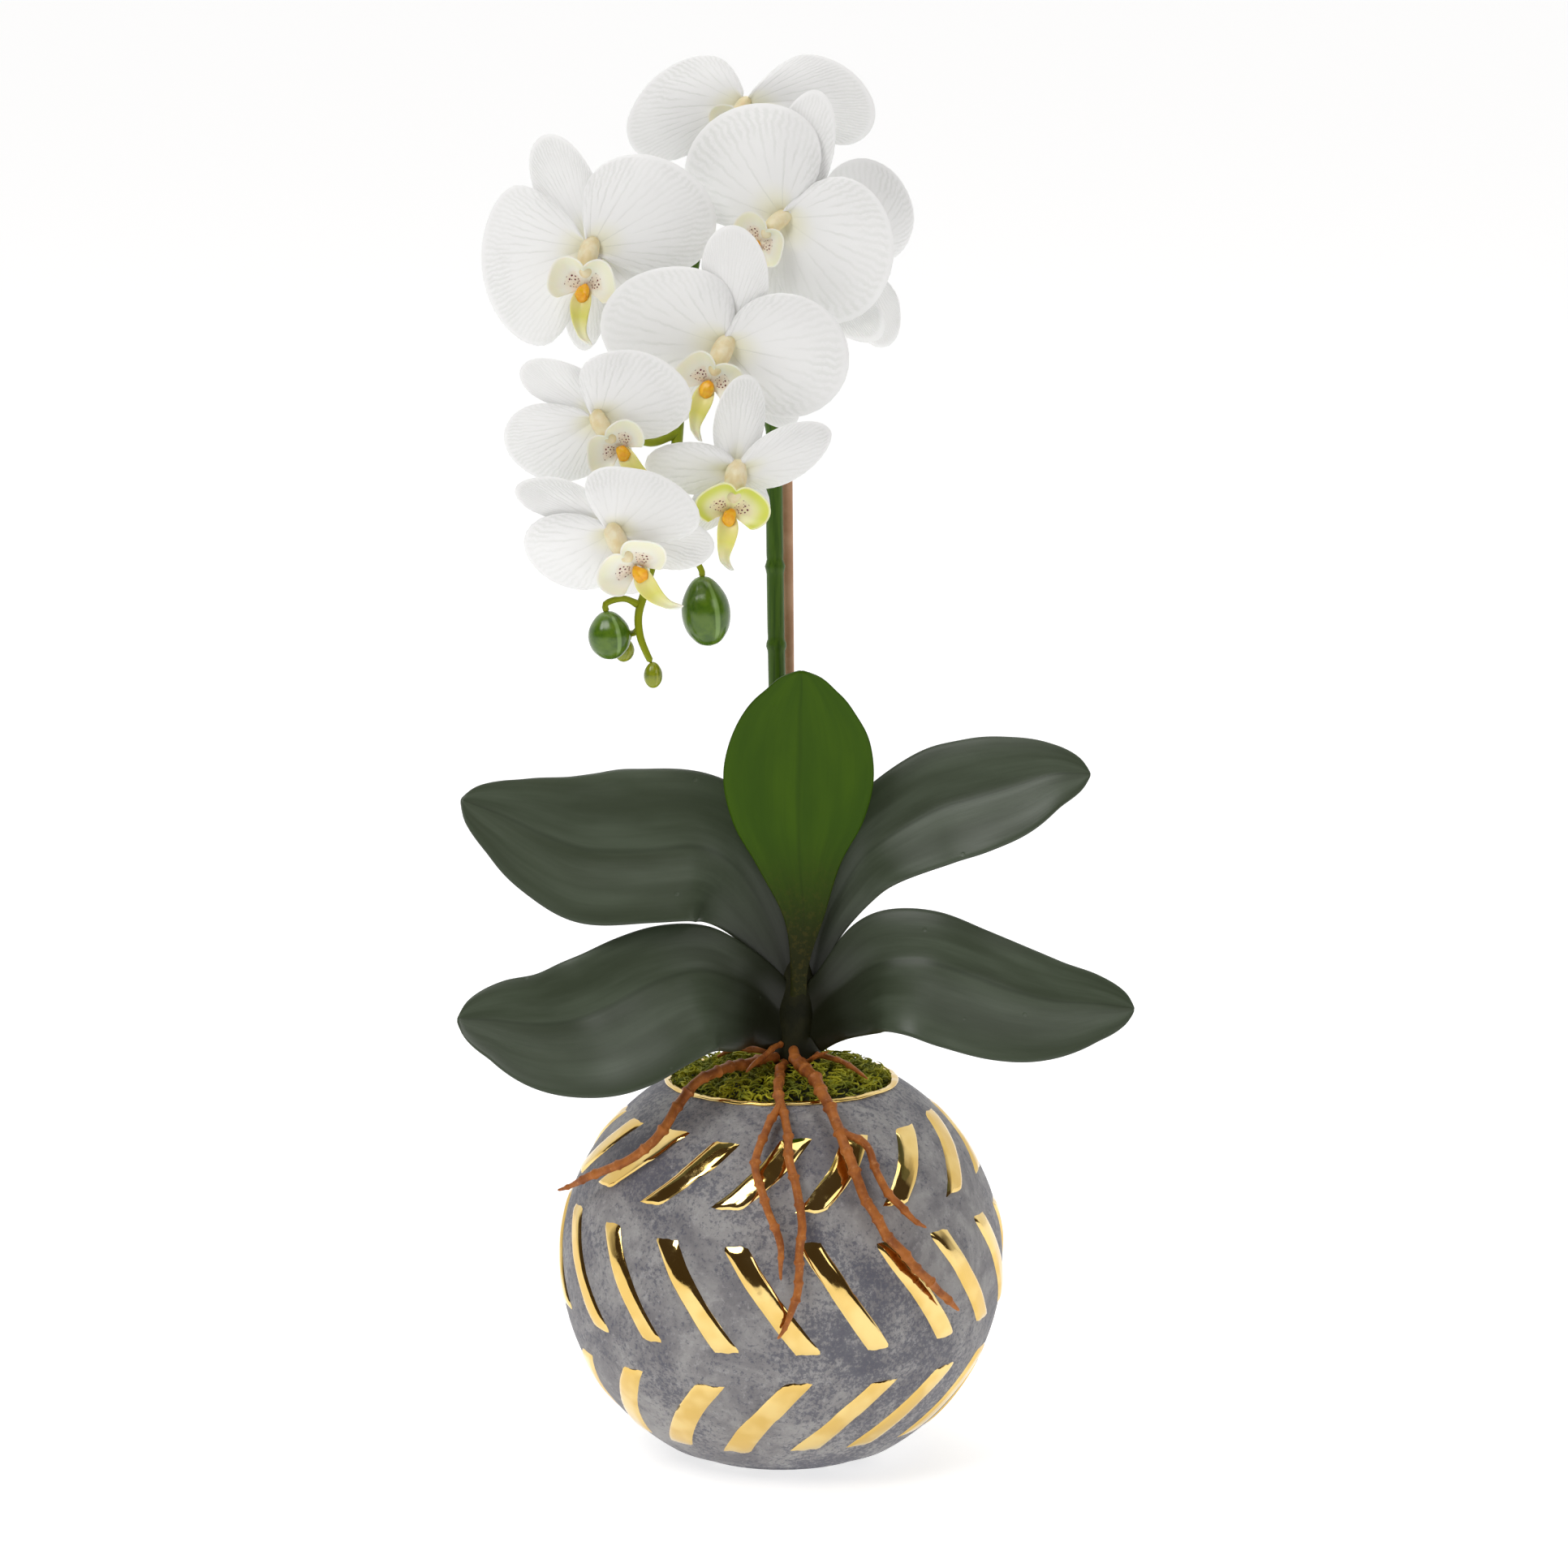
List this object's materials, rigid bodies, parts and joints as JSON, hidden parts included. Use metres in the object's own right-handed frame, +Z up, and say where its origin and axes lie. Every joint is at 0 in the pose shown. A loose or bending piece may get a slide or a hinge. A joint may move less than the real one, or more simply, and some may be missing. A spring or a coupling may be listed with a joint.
{
  "type": "potted orchid",
  "caption": "White moth orchid with an arching flower spike, broad leaves and hanging roots, standing in a round stone-glazed pot with raised gold bars.",
  "frame": {"origin": "centre of the pot's foot, on the surface it stands on", "axes": "+Z up along the pot's axis; the flowers face -Y; +X to the right seen from the front"},
  "size_m": [0.2394, 0.1816, 0.5029],
  "materials": {
    "stone_glaze": "matte mottled grey stone glaze with blue-black speckle",
    "gold_lustre": "mirror gold lustre fired on raised bars and the lip of the pot",
    "filler_foam": "rough green filler foam",
    "moss_strands": "curled yellow-green moss strands",
    "crown_green": "dark green leaf sheaths",
    "stem_green": "satin green moulded stem with nodes",
    "stake_wood": "plain tan stick",
    "leaf_green": "satin grey-green with fine lengthwise streaks",
    "leaf_underside": "brighter satin green underside, speckled near its base",
    "bud_green": "glossy green with paler ridges",
    "root_brown": "orange-brown rubbery root with rings",
    "white_tepal": "soft white translucent petal with branching veins",
    "lip_petal": "cream-yellow lip with dark red dots and an orange callus",
    "column_cream": "cream-yellow column"
  },
  "bodies": {
    "root": {"bud_1": "bud_green", "bud_2": "bud_green", "bud_3": "bud_green", "bud_4": "bud_green", "crown": "crown_green", "flower_1_column": "column_cream", "flower_1_lip": "lip_petal", "flower_1_petals": "white_tepal", "flower_1_sepals": "white_tepal", "flower_2_column": "column_cream", "flower_2_lip": "lip_petal", "flower_2_petals": "white_tepal", "flower_2_sepals": "white_tepal", "flower_3_column": "column_cream", "flower_3_lip": "lip_petal", "flower_3_petals": "white_tepal", "flower_3_sepals": "white_tepal", "flower_4_column": "column_cream", "flower_4_lip": "lip_petal", "flower_4_petals": "white_tepal", "flower_4_sepals": "white_tepal", "flower_5_column": "column_cream", "flower_5_lip": "lip_petal", "flower_5_petals": "white_tepal", "flower_5_sepals": "white_tepal", "flower_6_column": "column_cream", "flower_6_lip": "lip_petal", "flower_6_petals": "white_tepal", "flower_6_sepals": "white_tepal", "flower_7_column": "column_cream", "flower_7_lip": "lip_petal", "flower_7_petals": "white_tepal", "flower_7_sepals": "white_tepal", "flower_8_column": "column_cream", "flower_8_lip": "lip_petal", "flower_8_petals": "white_tepal", "flower_8_sepals": "white_tepal", "flower_spike": "stem_green", "leaf_1": "leaf_underside", "leaf_2": "leaf_green", "leaf_3": "leaf_green", "leaf_4": "leaf_green", "leaf_5": "leaf_green", "moss": "moss_strands", "pot": "stone_glaze", "potting_medium": "filler_foam", "root_1": "root_brown", "root_2": "root_brown", "root_3": "root_brown", "root_4": "root_brown", "root_5": "root_brown", "root_6": "root_brown", "root_7": "root_brown", "support_stake": "stake_wood"}
  },
  "joints": []
}
